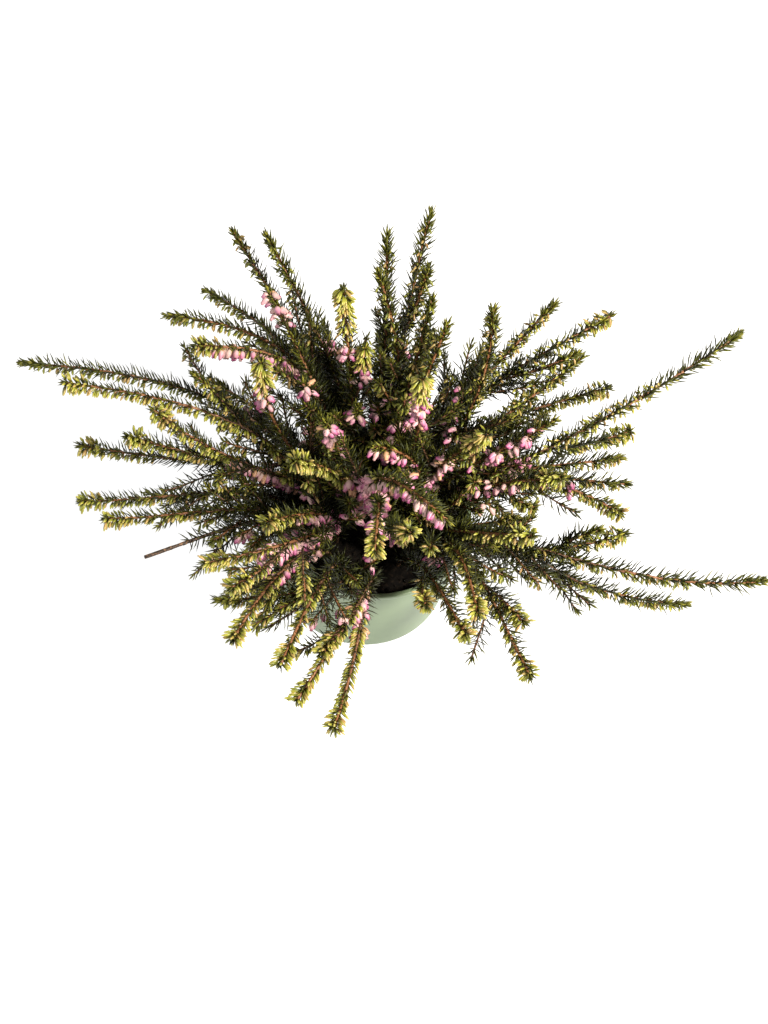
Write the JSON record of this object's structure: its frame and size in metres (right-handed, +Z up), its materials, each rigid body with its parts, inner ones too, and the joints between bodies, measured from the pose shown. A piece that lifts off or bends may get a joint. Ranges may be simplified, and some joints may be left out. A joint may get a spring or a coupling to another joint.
{
  "type": "potted winter heath",
  "caption": "Potted winter heath: a round sage-green pot of soil with arching needle-leaved shoots that carry rows of yellow-green buds and small pink bells.",
  "frame": {"origin": "middle of the pot's flat underside", "axes": "+Z up through the pot, +X to the right and +Y to the back as seen from the side that hangs lowest in front"},
  "size_m": [0.4492, 0.2736, 0.2326],
  "materials": {
    "pot": "satin pale sage green",
    "soil": "rough dark peat",
    "shoot": "green needles on red-brown twigs, with yellow-green buds and pink bells"
  },
  "bodies": {
    "root": {"pot": "pot", "shoot_01": "shoot", "shoot_02": "shoot", "shoot_03": "shoot", "shoot_04": "shoot", "shoot_05": "shoot", "shoot_06": "shoot", "shoot_07": "shoot", "shoot_08": "shoot", "shoot_09": "shoot", "shoot_10": "shoot", "shoot_11": "shoot", "shoot_12": "shoot", "shoot_13": "shoot", "shoot_14": "shoot", "shoot_15": "shoot", "shoot_16": "shoot", "shoot_17": "shoot", "shoot_18": "shoot", "shoot_19": "shoot", "shoot_20": "shoot", "shoot_21": "shoot", "shoot_22": "shoot", "shoot_23": "shoot", "shoot_24": "shoot", "shoot_25": "shoot", "shoot_26": "shoot", "shoot_27": "shoot", "shoot_28": "shoot", "shoot_29": "shoot", "shoot_30": "shoot", "shoot_31": "shoot", "shoot_32": "shoot", "shoot_33": "shoot", "shoot_34": "shoot", "shoot_35": "shoot", "shoot_36": "shoot", "shoot_37": "shoot", "shoot_38": "shoot", "shoot_39": "shoot", "shoot_40": "shoot", "shoot_41": "shoot", "shoot_42": "shoot", "shoot_43": "shoot", "shoot_44": "shoot", "shoot_45": "shoot", "shoot_46": "shoot", "shoot_47": "shoot", "shoot_48": "shoot", "shoot_49": "shoot", "shoot_50": "shoot", "shoot_51": "shoot", "shoot_52": "shoot", "shoot_53": "shoot", "shoot_54": "shoot", "shoot_55": "shoot", "shoot_56": "shoot", "shoot_57": "shoot", "shoot_58": "shoot", "soil": "soil"}
  },
  "joints": []
}
